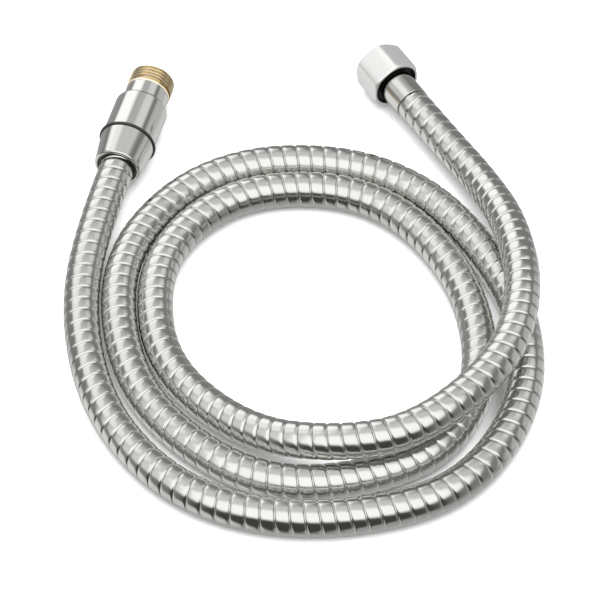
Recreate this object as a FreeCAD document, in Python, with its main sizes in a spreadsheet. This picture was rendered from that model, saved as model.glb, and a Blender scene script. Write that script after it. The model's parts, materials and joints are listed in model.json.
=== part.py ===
"""Metal hose of a handheld bath sprayer: an interlocked ribbed casing over a soft water tube,
with a swivel and a male thread at one end and a hex union nut at the other.

The hose lies on the plane z = 0 in loose loops.  Millimetres, +Z up, origin on that plane
below the middle of the whole part.
"""
import FreeCAD
import Part
import Sketcher

import math
import os

Vector = FreeCAD.Vector

# Route of the hose's centre line, from the swivel to the nut, chosen by hand.
ROUTE = [
    (-81.6, 76.4, 13.4), (-93, 35, 13.4), (-101, -12, 9), (-92, -64, 8), (-69, -101, 8), (-38, -123, 8),
    (1, -131, 8), (44, -124, 8), (72, -108, 8), (92, -79, 8), (100, -44, 8), (94, -1, 8),
    (68, 45, 8), (42, 67, 8), (11, 76, 8), (-27, 73, 8), (-59, 54, 8), (-82, 16, 8),
    (-81, -32, 8), (-65, -72, 8), (-30, -103, 8), (4, -111, 8), (44, -101, 8), (65, -83, 8),
    (78, -49, 8), (75, -5, 8), (53, 36, 8), (22, 57, 8), (-21, 57, 8), (-51, 37, 8),
    (-66, 4, 8), (-61, -46, 8), (-26, -86, 12), (14, -101, 23), (49, -92, 26), (86, -55, 26),
    (99, -17, 26), (94, 26, 21), (81, 59, 12.5), (64.9, 83.2, 13), (50.7, 106.2, 13),
]

# How much of the shorter run beside a corner of the route its arc takes up.
ARC_SHARE = 0.45

# Driving dimensions: alias, value and what it measures.
DIMENSIONS = [
    ("CasingCrest", 8.0, "outer radius of the casing's ribs"),
    ("CasingRoot", 7.4, "outer radius of the casing between two ribs"),
    ("CasingBore", 6.75, "inner radius of the casing"),
    ("RibCount", 200, "number of ribs"),
    ("GrooveShare", 0.16, "share of a rib's pitch that is groove"),
    ("FlankShare", 0.08, "share of a rib's pitch that is one sloping flank"),
    ("LinerOuter", 6.2, "outer radius of the water tube"),
    ("LinerBore", 4.3, "inner radius of the water tube"),
    ("BarbDepth", 0.35, "depth of the valleys between barbs"),
    ("BarbPitch", 2.4, "distance from one barb to the next"),
    ("WaterBore", 3.2, "radius of the water way through both tailpieces"),
    ("ClampWall", 0.7, "wall of a liner clamp"),
    ("ClampLength", 7.0, "length of a liner clamp"),
    ("ClampInset", 1.0, "distance from the liner's end to its clamp"),
    ("FitGap", 0.05, "radial clearance of parts that are pressed or slipped together"),
    ("RunningGap", 0.1, "clearance of parts that turn on each other"),
    ("SleeveMouth", 9.35, "inner radius of the lower sleeve's mouth"),
    ("SleeveRim", 10.7, "outer radius of the lower sleeve at its mouth"),
    ("SleeveRimRound", 1.0, "rounding of the lower sleeve's rim"),
    ("SleeveFoot", 12.65, "outer radius of the lower sleeve at the seal ring"),
    ("SleeveLength", 15.6, "length of the lower sleeve"),
    ("HoseDepth", 11.0, "how far the casing reaches into the lower sleeve"),
    ("EntryInset", 0.5, "how far the entry ring sits inside the mouth"),
    ("EntryLength", 2.4, "length of the entry ring"),
    ("SealRadius", 13.4, "outer radius of the seal ring between the two sleeves"),
    ("SealLength", 1.2, "thickness of the seal ring"),
    ("CoreOuter", 9.2, "outer radius of the swivel core's tube"),
    ("CoreBore", 7.5, "inner radius of the swivel core's tube"),
    ("CoreFlange", 10.5, "radius of the swivel core's flange"),
    ("CoreFlangeLength", 1.8, "thickness of the swivel core's flange"),
    ("CoreWeb", 2.0, "thickness of the web that closes the swivel core"),
    ("CoreNose", 6.8, "radius of the swivel core's nose"),
    ("CoreNoseLength", 8.0, "length of the swivel core's nose"),
    ("OringSection", 1.6, "thickness of an O-ring"),
    ("OringInset", 2.2, "distance from the core's flange to the first O-ring"),
    ("OringPitch", 3.4, "distance between the two O-rings"),
    ("UpperOuter", 12.35, "outer radius of the upper sleeve"),
    ("UpperLength", 22.2, "length of the upper sleeve"),
    ("UpperShoulder", 1.6, "rounding of the upper sleeve's shoulder"),
    ("UpperBore", 10.65, "inner radius of the upper sleeve round the core's flange"),
    ("FlangeGap", 0.3, "end clearance between the core's flange and the upper sleeve"),
    ("RetainerDepth", 0.7, "depth of the groove that holds the retaining ring"),
    ("RetainerLength", 1.2, "thickness of the retaining ring"),
    ("RetainerInset", 1.5, "wall between the retaining ring and the upper sleeve's end"),
    ("RetainerSplit", 3.0, "width of the split in the retaining ring"),
    ("ThrustLength", 1.2, "thickness of the thrust washer"),
    ("SocketRadius", 9.0, "radius of the socket that takes the nipple"),
    ("SocketDepth", 4.8, "depth of the socket that takes the nipple"),
    ("NippleNeck", 10.1, "outer radius of the nipple's neck"),
    ("NippleNeckLength", 9.4, "length of the nipple's neck"),
    ("RunoutRadius", 9.3, "radius of the run-out between neck and thread"),
    ("RunoutLength", 1.0, "length of the run-out between neck and thread"),
    ("ThreadRadius", 10.478, "major radius of the G1/2 male thread"),
    ("ThreadLength", 7.6, "length of the G1/2 male thread"),
    ("ThreadChamfer", 0.8, "chamfer at the tip of the male thread"),
    ("NippleBore", 6.0, "radius of the water way through the nipple"),
    ("FerruleOuter", 8.2, "outer radius of the ferrule"),
    ("FerruleBore", 7.2, "inner radius of the ferrule"),
    ("FerruleLength", 14.1, "length of the ferrule in front of the casing"),
    ("FerruleSpigot", 8.0, "length of the ferrule's spigot in the casing"),
    ("FerruleStep", 1.2, "wall between the ferrule's back face and its wider bore"),
    ("FerruleNose", 0.6, "how far the ferrule reaches into the nut's recess"),
    ("FerruleRound", 0.5, "rounding of the ferrule's front edge"),
    ("PlugLength", 2.0, "length of the tailpiece's plug in the ferrule"),
    ("TailNeck", 7.0, "outer radius of the nut tailpiece's neck"),
    ("TailFlange", 9.0, "radius of the nut tailpiece's flange"),
    ("TailFlangeLength", 1.6, "thickness of the nut tailpiece's flange"),
    ("SlipLength", 0.8, "thickness of the slip ring"),
    ("WasherBore", 5.6, "inner radius of the nut's sealing washer"),
    ("WasherOuter", 9.1, "outer radius of the nut's sealing washer"),
    ("WasherLength", 1.8, "thickness of the nut's sealing washer"),
    ("NutFlats", 23.0, "width of the nut across its flats"),
    ("NutTurned", 12.75, "radius that the nut's corners are turned to"),
    ("NutLength", 16.6, "length of the nut"),
    ("NutChamfer", 0.9, "chamfer at each end of the nut"),
    ("NutRecess", 10.6, "radius of the recess in the nut's rear face"),
    ("NutRecessDepth", 2.4, "depth of the recess in the nut's rear face"),
    ("NutLip", 2.0, "thickness of the nut's inner lip"),
    ("NutBore", 9.32, "minor radius of the nut's G1/2 female thread"),
    ("NutRelief", 10.5, "radius of the nut's unthreaded chamber behind its thread"),
    ("NutMouthChamfer", 0.9, "chamfer at the nut's mouth"),
]

# Stations along the swivel's axis, from the lower sleeve's mouth outwards.
ENTRY_END = "( EntryInset + EntryLength )"
SEAL_END = "( SleeveLength + SealLength )"
UPPER_START = "( " + SEAL_END + " + RunningGap )"
UPPER_END = "( " + UPPER_START + " + UpperLength )"
RETAINER_START = "( " + UPPER_START + " + RetainerInset )"
RETAINER_END = "( " + RETAINER_START + " + RetainerLength )"
THRUST_END = "( " + RETAINER_END + " + ThrustLength )"
FLANGE_START = "( " + THRUST_END + " + RunningGap )"
FLANGE_END = "( " + FLANGE_START + " + CoreFlangeLength )"
WEB_START = "( " + FLANGE_END + " - CoreWeb )"
NOSE_END = "( " + FLANGE_END + " + CoreNoseLength )"
FIRST_ORING = "( " + FLANGE_END + " + OringInset )"
SECOND_ORING = "( " + FIRST_ORING + " + OringPitch )"
SOCKET_START = "( " + UPPER_END + " - SocketDepth )"
NECK_END = "( " + UPPER_END + " + NippleNeckLength )"
RUNOUT_END = "( " + NECK_END + " + RunoutLength )"
THREAD_END = "( " + RUNOUT_END + " + ThreadLength )"

# Stations along the nut's axis, from its rear face outwards.
CASING_END = "( FerruleNose - FerruleLength )"
PLUG_START = "( FerruleNose - PlugLength )"
LIP_END = "( NutRecessDepth + NutLip )"
SLIP_START = "( " + LIP_END + " + FitGap )"
SLIP_END = "( " + SLIP_START + " + SlipLength )"
TAIL_START = "( " + SLIP_END + " + FitGap )"
TAIL_END = "( " + TAIL_START + " + TailFlangeLength )"
WASHER_END = "( " + TAIL_END + " + WasherLength )"
THREAD_START = "( " + WASHER_END + " + RunningGap )"

# Radii that follow from two pieces at once.
HOSE_POCKET = "( CasingCrest + FitGap )"
BARB_CREST = "( LinerBore - FitGap )"
BARB_VALLEY = "( " + BARB_CREST + " - BarbDepth )"
CLAMP_BORE = "( LinerOuter + FitGap )"
CLAMP_OUTER = "( " + CLAMP_BORE + " + ClampWall )"
CORE_SEAT = "( CoreOuter + FitGap )"
NOSE_BORE = "( CoreNose + RunningGap )"
ORING_OUTER = "( " + NOSE_BORE + " - FitGap )"
ORING_FLOOR = "( " + ORING_OUTER + " - OringSection - FitGap )"
RETAINER_SEAT = "( UpperBore + RetainerDepth )"

BARBS = 3

# Step along the route at which its distance to itself is measured.
SELF_GAP_STEP = 2.0


def make_sheet(doc):
    """Write the driving dimensions into the document's spreadsheet."""
    sheet = doc.addObject("Spreadsheet::Sheet", "Dimensions")
    for row, (alias, value, meaning) in enumerate(DIMENSIONS, start=1):
        sheet.set("A%d" % row, alias)
        sheet.set("B%d" % row, str(value))
        sheet.set("C%d" % row, meaning)
        sheet.setAlias("B%d" % row, alias)
    doc.recompute()
    return sheet


def bound(expression):
    """Write an expression of aliases as one that other objects can be bound to."""
    words = str(expression).split()
    return " ".join("Dimensions." + word if word[0].isalpha() else word for word in words)


def number(doc, expression):
    """Work out an expression of aliases with the values in the sheet."""
    result = doc.Dimensions.evalExpression(str(expression))
    return float(getattr(result, "Value", result))


def origin_plane(body, role):
    """Find one of a body's own origin planes."""
    return next(item for item in body.Origin.OriginFeatures if item.Role == role)


def add_sketch(body, name, role):
    """Add a sketch on one of a body's own origin planes."""
    sketch = body.newObject("Sketcher::SketchObject", name)
    sketch.AttachmentSupport = [(origin_plane(body, role), "")]
    sketch.MapMode = "FlatFace"
    return sketch


def draw_outline(doc, sketch, corners):
    """Draw a closed outline whose corners are bound to pairs of expressions."""
    first = sketch.GeometryCount
    values = [(number(doc, across), number(doc, along)) for across, along in corners]
    count = len(corners)
    for index, (across, along) in enumerate(values):
        following = values[(index + 1) % count]
        line = Part.LineSegment(Vector(across, along, 0), Vector(following[0], following[1], 0))
        sketch.addGeometry(line, False)
    for index in range(count):
        following = first + (index + 1) % count
        sketch.addConstraint(Sketcher.Constraint("Coincident", first + index, 2, following, 1))
    for index, pair in enumerate(corners):
        for kind, expression, value in zip(("DistanceX", "DistanceY"), pair, values[index]):
            rule = Sketcher.Constraint(kind, -1, 1, first + index, 1, value)
            place = sketch.addConstraint(rule)
            sketch.setExpression("Constraints[%d]" % place, bound(expression))


def turned_body(doc, label, corners):
    """Make a body turned about its own Z axis from an outline of (radius, station) corners."""
    body = doc.addObject("PartDesign::Body", label)
    body.Label = label
    sketch = add_sketch(body, label + "_outline", "XZ_Plane")
    draw_outline(doc, sketch, corners)
    turning = body.newObject("PartDesign::Revolution", label + "_turning")
    turning.Profile = sketch
    turning.ReferenceAxis = (sketch, ["V_Axis"])
    turning.Angle = 360
    body.Tip = turning
    doc.recompute()
    return body


def ring_body(doc, label, inner, outer, start, end):
    """Make a plain ring from its two radii and two stations."""
    return turned_body(doc, label, [(inner, start), (outer, start), (outer, end), (inner, end)])


def round_edge(doc, body, radius, station, rounding):
    """Round the circular edge of a body at a radius and station."""
    base = body.Tip
    wanted = (number(doc, radius), number(doc, station))
    names = []
    for index, edge in enumerate(base.Shape.Edges, start=1):
        curve = edge.Curve
        if isinstance(curve, Part.Circle):
            found = (curve.Radius, curve.Center.z)
            if math.dist(found, wanted) < 0.001:
                names.append("Edge%d" % index)
    fillet = body.newObject("PartDesign::Fillet", body.Label + "_round")
    fillet.Base = (base, names)
    fillet.setExpression("Radius", bound(rounding))
    body.Tip = fillet
    doc.recompute()


def cut_pocket(doc, body, sketch, name):
    """Cut a sketch on the body's XY plane through the whole body, both ways."""
    before = body.Tip.Shape.Volume
    pocket = body.newObject("PartDesign::Pocket", name)
    pocket.Profile = sketch
    pocket.Type = "ThroughAll"
    pocket.Midplane = True
    body.Tip = pocket
    doc.recompute()
    if not pocket.Shape.Volume < before - 1.0:
        raise RuntimeError(name + " cuts nothing")


def barb_corners(root):
    """Corners of a barbed tube, from its tip to its root, both on the water way's side."""
    corners = []
    for barb in range(BARBS, 0, -1):
        tip = "( " + root + " - ClampInset - BarbPitch * %d )" % barb
        crest = "( " + tip + " + BarbPitch )"
        if not corners:
            corners.append(("WaterBore", tip))
        corners.append((BARB_VALLEY, tip))
        corners.append((BARB_CREST, crest))
    corners.append((BARB_VALLEY, "( " + root + " - ClampInset )"))
    corners.append((BARB_VALLEY, root))
    return corners


def make_entry_ring(doc):
    """Dark ring that closes the gap between the hose and the lower sleeve's mouth."""
    return ring_body(doc, "entry_ring", HOSE_POCKET, "SleeveMouth - FitGap", "EntryInset", ENTRY_END)


def make_lower_sleeve(doc):
    """Tapered sleeve that holds the casing's end and the swivel core."""
    body = turned_body(doc, "lower_sleeve", [
        ("SleeveMouth", "0"),
        ("SleeveRim", "0"),
        ("SleeveFoot", "SleeveLength"),
        (CORE_SEAT, "SleeveLength"),
        (CORE_SEAT, "HoseDepth"),
        (HOSE_POCKET, "HoseDepth"),
        (HOSE_POCKET, ENTRY_END),
        ("SleeveMouth", ENTRY_END),
    ])
    round_edge(doc, body, "SleeveRim", "0", "SleeveRimRound")
    return body


def make_swivel_tailpiece(doc):
    """Swivel core: barb for the water tube, tube in the lower sleeve, flange and nose."""
    corners = barb_corners(WEB_START)
    corners += [
        ("CoreBore", WEB_START),
        ("CoreBore", "HoseDepth"),
        ("CoreOuter", "HoseDepth"),
        ("CoreOuter", FLANGE_START),
        ("CoreFlange", FLANGE_START),
        ("CoreFlange", FLANGE_END),
        ("CoreNose", FLANGE_END),
    ]
    for middle in (FIRST_ORING, SECOND_ORING):
        half = "( OringSection / 2 + FitGap )"
        near = middle + " - " + half
        far = middle + " + " + half
        corners += [("CoreNose", near), (ORING_FLOOR, near), (ORING_FLOOR, far), ("CoreNose", far)]
    corners += [("CoreNose", NOSE_END), ("WaterBore", NOSE_END)]
    return turned_body(doc, "swivel_tailpiece", corners)


def make_clamp(doc, label, liner_end):
    """Crimped sleeve that holds the water tube on its barb."""
    end = liner_end + " - ClampInset"
    return ring_body(doc, label, CLAMP_BORE, CLAMP_OUTER, end + " - ClampLength", end)


def make_seal_ring(doc):
    """Black ring between the two sleeves."""
    return ring_body(doc, "sleeve_seal_ring", CORE_SEAT, "SealRadius", "SleeveLength", SEAL_END)


def make_upper_sleeve(doc):
    """Sleeve that turns on the swivel core and carries the nipple."""
    web = FLANGE_END + " + FlangeGap"
    body = turned_body(doc, "upper_sleeve", [
        ("UpperBore", UPPER_START),
        ("UpperOuter", UPPER_START),
        ("UpperOuter", UPPER_END),
        ("SocketRadius", UPPER_END),
        ("SocketRadius", SOCKET_START),
        (NOSE_BORE, SOCKET_START),
        (NOSE_BORE, web),
        ("UpperBore", web),
        ("UpperBore", RETAINER_END),
        (RETAINER_SEAT, RETAINER_END),
        (RETAINER_SEAT, RETAINER_START),
        ("UpperBore", RETAINER_START),
    ])
    round_edge(doc, body, "UpperOuter", UPPER_END, "UpperShoulder")
    return body


def make_retaining_ring(doc):
    """Split ring in the upper sleeve's groove that keeps the core in."""
    body = ring_body(doc, "retaining_ring", "CoreOuter + FlangeGap", RETAINER_SEAT + " - FitGap",
                     RETAINER_START, RETAINER_END)
    sketch = add_sketch(body, "retaining_ring_split", "XY_Plane")
    draw_outline(doc, sketch, [
        ("CoreOuter - RetainerSplit", "RetainerSplit / 2"),
        ("CoreOuter - RetainerSplit", "0 - RetainerSplit / 2"),
        (RETAINER_SEAT + " + RetainerSplit", "0 - RetainerSplit / 2"),
        (RETAINER_SEAT + " + RetainerSplit", "RetainerSplit / 2"),
    ])
    cut_pocket(doc, body, sketch, "retaining_ring_cut")
    return body


def make_thrust_washer(doc):
    """Slippery washer between the retaining ring and the core's flange."""
    return ring_body(doc, "thrust_washer", "CoreOuter + FlangeGap", "UpperBore - FitGap",
                     RETAINER_END, THRUST_END)


def make_o_ring(doc, label):
    """One O-ring of the swivel core's nose, about its own middle."""
    ring = doc.addObject("Part::Torus", label)
    ring.Label = label
    ring.setExpression("Radius1", bound(ORING_OUTER + " - OringSection / 2"))
    ring.setExpression("Radius2", bound("OringSection / 2"))
    doc.recompute()
    return ring


def make_nipple(doc):
    """Nipple with the male thread, its neck and the spigot in the upper sleeve."""
    spigot = "SocketRadius - FitGap"
    return turned_body(doc, "thread_nipple", [
        ("NippleBore", SOCKET_START),
        (spigot, SOCKET_START),
        (spigot, UPPER_END),
        ("NippleNeck", UPPER_END),
        ("NippleNeck", NECK_END),
        ("RunoutRadius", NECK_END),
        ("RunoutRadius", RUNOUT_END),
        ("ThreadRadius", RUNOUT_END),
        ("ThreadRadius", THREAD_END + " - ThreadChamfer"),
        ("ThreadRadius - ThreadChamfer", THREAD_END),
        ("NippleBore", THREAD_END),
    ])


def make_ferrule(doc):
    """Smooth collar that ends the casing, with a spigot in its bore."""
    spigot_end = CASING_END + " - FerruleSpigot"
    step = CASING_END + " + FerruleStep"
    body = turned_body(doc, "nut_ferrule", [
        (CLAMP_BORE, spigot_end),
        ("CasingBore - FitGap", spigot_end),
        ("CasingBore - FitGap", CASING_END),
        ("FerruleOuter", CASING_END),
        ("FerruleOuter", "FerruleNose"),
        ("FerruleBore", "FerruleNose"),
        ("FerruleBore", step),
        (CLAMP_BORE, step),
    ])
    round_edge(doc, body, "FerruleOuter", "FerruleNose", "FerruleRound")
    return body


def make_nut_tailpiece(doc):
    """Barbed insert with the flange that the nut pulls on."""
    corners = barb_corners(PLUG_START)
    corners += [
        ("FerruleBore - FitGap", PLUG_START),
        ("FerruleBore - FitGap", "FerruleNose"),
        ("TailNeck", "FerruleNose"),
        ("TailNeck", TAIL_START),
        ("TailFlange", TAIL_START),
        ("TailFlange", TAIL_END),
        ("WaterBore", TAIL_END),
    ]
    return turned_body(doc, "nut_tailpiece", corners)


def make_slip_ring(doc):
    """Thin ring between the nut's lip and the tailpiece's flange."""
    return ring_body(doc, "slip_ring", "TailNeck + RunningGap", "TailFlange", SLIP_START,
                     SLIP_END)


def make_nut_washer(doc):
    """Flat sealing washer on the tailpiece's flange."""
    return ring_body(doc, "nut_washer", "WasherBore", "WasherOuter", TAIL_END, WASHER_END)


def make_hex_nut(doc):
    """Union nut: a turned blank whose six flats are cut, with a corner along its own X axis."""
    chamfered = "NutTurned - NutChamfer"
    lip_hole = "TailNeck + RunningGap * 2"
    body = turned_body(doc, "hex_nut", [
        ("NutRecess", "0"),
        (chamfered, "0"),
        ("NutTurned", "NutChamfer"),
        ("NutTurned", "NutLength - NutChamfer"),
        (chamfered, "NutLength"),
        ("NutBore + NutMouthChamfer", "NutLength"),
        ("NutBore", "NutLength - NutMouthChamfer"),
        ("NutBore", THREAD_START),
        ("NutRelief", THREAD_START),
        ("NutRelief", LIP_END),
        (lip_hole, LIP_END),
        (lip_hole, "NutRecessDepth"),
        ("NutRecess", "NutRecessDepth"),
    ])
    sketch = add_sketch(body, "hex_nut_flats", "XY_Plane")
    draw_outline(doc, sketch, hexagon("NutFlats"))
    draw_outline(doc, sketch, hexagon("NutFlats * 2"))
    cut_pocket(doc, body, sketch, "hex_nut_cut")
    return body


def hexagon(flats):
    """Corners of a hexagon of a width across its flats, the first along X."""
    corners = []
    for turn in range(6):
        angle = math.radians(60 * turn)
        across = math.cos(angle) / math.sqrt(3)
        along = math.sin(angle) / math.sqrt(3)
        corners.append((flats + " * %.9f" % across, flats + " * %.9f" % along))
    return corners


def axis_frame(inner, outer):
    """Placement whose Z axis runs from one point to another and whose X axis points up."""
    axis = (outer - inner).normalize()
    up = Vector(0, 0, 1)
    side = axis.cross(up).normalize()
    rotation = FreeCAD.Rotation(side.cross(axis), side, axis, "ZXY")
    return axis, rotation


def place(part, base, axis, rotation, station=0.0):
    """Place a part of one end so that its own Z axis lies along that end's axis."""
    part.Placement = FreeCAD.Placement(base + axis * station, rotation)


def route_path(points):
    """Join straight runs by tangent arcs: the edges of the path, and the arcs' radii."""
    edges = []
    radii = []
    start = points[0]
    for before, corner, after in zip(points, points[1:], points[2:]):
        back = (before - corner).normalize()
        forth = (after - corner).normalize()
        half_turn = (math.pi - back.getAngle(forth)) / 2
        run = min((before - corner).Length, (after - corner).Length)
        reach = ARC_SHARE * run
        radius = reach / math.tan(half_turn)
        inward = (back + forth).normalize()
        centre = corner + inward * (radius / math.cos(half_turn))
        enter = corner + back * reach
        middle = centre - inward * radius
        leave = corner + forth * reach
        edges.append(Part.LineSegment(start, enter).toShape())
        edges.append(Part.Arc(enter, middle, leave).toShape())
        radii.append(radius)
        start = leave
    edges.append(Part.LineSegment(start, points[-1]).toShape())
    return edges, radii


class Path:
    """A chain of edges that can be read at any distance from its start."""

    def __init__(self, edges):
        self.edges = edges
        self.length = sum(edge.Length for edge in edges)

    def at(self, distance):
        """Point and direction at a distance from the start."""
        rest = min(max(distance, 0.0), self.length)
        for edge in self.edges:
            if rest <= edge.Length or edge is self.edges[-1]:
                parameter = edge.getParameterByLength(min(rest, edge.Length))
                return edge.valueAt(parameter), edge.tangentAt(parameter).normalize()
            rest -= edge.Length
        raise RuntimeError("no edges")

    def circle(self, distance, radius):
        """Circle round the path at a distance, its own X axis kept as upright as it can be."""
        centre, tangent = self.at(distance)
        up = Vector(0, 0, 1)
        steady = (up - tangent * up.dot(tangent)).normalize()
        circle = Part.Circle(centre, tangent, radius)
        circle.XAxis = steady
        return Part.Wire([circle.toShape()])

    def least_gap(self, step, reach):
        """Least distance between points of the path that lie a reach or more apart along it."""
        count = int(self.length / step)
        points = [self.at(index * self.length / count)[0] for index in range(count + 1)]
        skip = int(reach / step)
        best = None
        for index, point in enumerate(points):
            for other in points[index + skip:]:
                apart = point.distanceToPoint(other)
                if best is None or apart < best:
                    best = apart
        return best


def casing_solid(doc, path):
    """Ribbed casing: a ruled loft through four circles for each rib, with its bore."""
    crest = number(doc, "CasingCrest")
    root = number(doc, "CasingRoot")
    bore = number(doc, "CasingBore")
    ribs = int(number(doc, "RibCount"))
    groove = number(doc, "GrooveShare")
    flank = number(doc, "FlankShare")
    pitch = path.length / ribs
    shares = [(groove / 2, root), (groove / 2 + flank, crest),
              (1 - groove / 2 - flank, crest), (1 - groove / 2, root)]
    outer = [path.circle(0, root)]
    inner = [path.circle(0, bore)]
    for rib in range(ribs):
        for share, radius in shares:
            outer.append(path.circle((rib + share) * pitch, radius))
        inner.append(path.circle((rib + 1) * pitch, bore))
    outer.append(path.circle(path.length, root))
    faces = Part.makeLoft(outer, False, True).Faces + Part.makeLoft(inner, False, True).Faces
    for end in (0, -1):
        faces.append(Part.makeFace([outer[end], inner[end]], "Part::FaceMakerBullseye"))
    shell = Part.makeShell(faces)
    shell.sewShape()
    solid = Part.Solid(Part.Shell(shell.Faces))
    if solid.Volume < 0:
        solid.reverse()
    return solid


def liner_solid(doc, path, edges):
    """Water tube: two pipe shells along the path, the bore cut from the tube."""
    spine = Part.Wire(edges)
    outer = spine.makePipeShell([path.circle(0, number(doc, "LinerOuter"))], True, False)
    inner = spine.makePipeShell([path.circle(0, number(doc, "LinerBore"))], True, False)
    return outer.cut(inner)


def add_shape(doc, label, shape):
    """Add a sub-part whose shape is made here."""
    feature = doc.addObject("Part::Feature", label)
    feature.Label = label
    feature.Shape = shape
    feature.Placement = FreeCAD.Placement()
    return feature


def main():
    doc = FreeCAD.newDocument("Hose")
    make_sheet(doc)
    points = [Vector(*point) for point in ROUTE]

    edges, radii = route_path(points)
    path = Path(edges)
    casing = add_shape(doc, "hose_casing", casing_solid(doc, path))

    swivel_axis, swivel_turn = axis_frame(points[1], points[0])
    swivel_base = points[0] - swivel_axis * number(doc, "HoseDepth")
    nut_axis, nut_turn = axis_frame(points[-2], points[-1])
    nut_base = points[-1] - nut_axis * number(doc, CASING_END)

    liner_points = list(points)
    liner_points[0] = swivel_base + swivel_axis * number(doc, WEB_START)
    liner_points[-1] = nut_base + nut_axis * number(doc, PLUG_START)
    liner_edges, _ = route_path(liner_points)
    liner_path = Path(liner_edges)
    liner = add_shape(doc, "inner_liner", liner_solid(doc, liner_path, liner_edges))

    swivel_parts = [
        make_entry_ring(doc),
        make_lower_sleeve(doc),
        make_swivel_tailpiece(doc),
        make_clamp(doc, "swivel_liner_clamp", WEB_START),
        make_seal_ring(doc),
        make_upper_sleeve(doc),
        make_retaining_ring(doc),
        make_thrust_washer(doc),
        make_nipple(doc),
    ]
    for part in swivel_parts:
        place(part, swivel_base, swivel_axis, swivel_turn)
    o_rings = []
    for label, middle in (("core_o_ring_rear", FIRST_ORING), ("core_o_ring_front", SECOND_ORING)):
        ring = make_o_ring(doc, label)
        place(ring, swivel_base, swivel_axis, swivel_turn, number(doc, middle))
        o_rings.append(ring)

    nut_parts = [
        make_ferrule(doc),
        make_nut_tailpiece(doc),
        make_clamp(doc, "nut_liner_clamp", PLUG_START),
        make_slip_ring(doc),
        make_nut_washer(doc),
        make_hex_nut(doc),
    ]
    for part in nut_parts:
        place(part, nut_base, nut_axis, nut_turn)
    doc.recompute()

    parts = [casing, liner] + swivel_parts + o_rings + nut_parts
    report(doc, path, radii, parts)
    check_and_write(doc, parts)


def report(doc, path, radii, parts):
    """Print what tells a sound hose from a broken one."""
    crest = number(doc, "CasingCrest")
    print("arc radii", [round(radius) for radius in radii])
    gap = path.least_gap(SELF_GAP_STEP, 6 * crest) - 2 * crest
    print("casing length %.1f, least gap to itself %.2f" % (path.length, gap))
    bore_area = math.pi * number(doc, "CasingBore") ** 2
    crest_area = math.pi * crest ** 2
    root_area = math.pi * number(doc, "CasingRoot") ** 2
    casing = parts[0].Shape
    print("casing volume %.0f, between %.0f and %.0f" % (
        casing.Volume, (root_area - bore_area) * path.length, (crest_area - bore_area) * path.length))
    liner_area = math.pi * (number(doc, "LinerOuter") ** 2 - number(doc, "LinerBore") ** 2)
    extra = number(doc, WEB_START) - number(doc, "HoseDepth")
    extra += number(doc, PLUG_START) - number(doc, CASING_END)
    print("liner volume %.0f, section times length %.0f" % (
        parts[1].Shape.Volume, liner_area * (path.length + extra)))
    whole = Part.makeCompound([part.Shape for part in parts])
    print("box", whole.optimalBoundingBox(False, False))


def check_and_write(doc, parts):
    """Stop at a failed object or a bad shape, then write one file for each sub-part."""
    for item in doc.Objects:
        if "Invalid" in item.State or "Error" in item.State:
            raise RuntimeError(item.Name + " failed")
    for part in parts:
        if part.Shape.isNull() or not part.Shape.isValid():
            raise RuntimeError(part.Label + " has a bad shape")
    os.makedirs("parts", exist_ok=True)
    for part in parts:
        part.Shape.exportStep(os.path.join("parts", part.Label + ".step"))


if __name__ == "__main__":
    main()
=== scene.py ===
"""Looks of a bath sprayer's metal hose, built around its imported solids.

The hose lies in loose loops on a white table.  A strip of bright steel is wound along its
route, a swivel with a male thread ends it on the left, and a hex union nut on the right.
"""

import json
import logging
import math
from dataclasses import dataclass, field
from enum import Enum
from typing import Callable, Dict, List, Optional, Sequence, Tuple

import bmesh
import bpy
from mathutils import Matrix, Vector


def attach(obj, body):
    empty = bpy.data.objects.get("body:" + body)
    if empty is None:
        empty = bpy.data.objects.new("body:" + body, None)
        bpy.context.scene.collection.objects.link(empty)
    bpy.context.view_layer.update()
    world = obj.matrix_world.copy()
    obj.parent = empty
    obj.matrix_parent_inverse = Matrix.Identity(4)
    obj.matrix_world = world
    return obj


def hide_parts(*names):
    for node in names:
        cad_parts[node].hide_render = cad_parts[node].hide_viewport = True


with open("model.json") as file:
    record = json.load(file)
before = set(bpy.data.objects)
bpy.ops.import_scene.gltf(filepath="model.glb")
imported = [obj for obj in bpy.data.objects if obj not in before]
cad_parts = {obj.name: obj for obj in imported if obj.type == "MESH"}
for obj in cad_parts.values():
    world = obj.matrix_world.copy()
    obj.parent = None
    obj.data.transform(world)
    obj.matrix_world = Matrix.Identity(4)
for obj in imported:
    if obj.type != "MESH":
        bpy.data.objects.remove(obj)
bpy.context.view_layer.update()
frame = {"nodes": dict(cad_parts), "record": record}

logging.basicConfig(level=logging.INFO, format="%(message)s")
log = logging.getLogger("hose")

MM = 0.001
TURN = 2.0 * math.pi
SURFACE = "surface"       # name of the map that follows a piece's surface
NEARLY = 1e-6             # metres past the route's end that still count as on it
WELD = 1e-5               # metres within which a layer's points are welded
SHARP = math.radians(32)  # angle past which an edge stays sharp
GUARD = 0.15              # share of a rounding at which a guard row keeps the flat beside it flat
THREAD_ROW = 0.13         # longest mesh row along a threaded wall, in millimetres

# Short names of types, the last seven of them Blender's own.
Point2 = Tuple[float, float]
Point3 = Tuple[float, float, float]
Colour = Tuple[float, float, float]
Material = bpy.types.Material
Mesh = bpy.types.Mesh
Piece = bpy.types.Object
Node = bpy.types.Node
Socket = bpy.types.NodeSocket
Sockets = bpy.types.NodeOutputs
Tree = bpy.types.NodeTree

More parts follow.
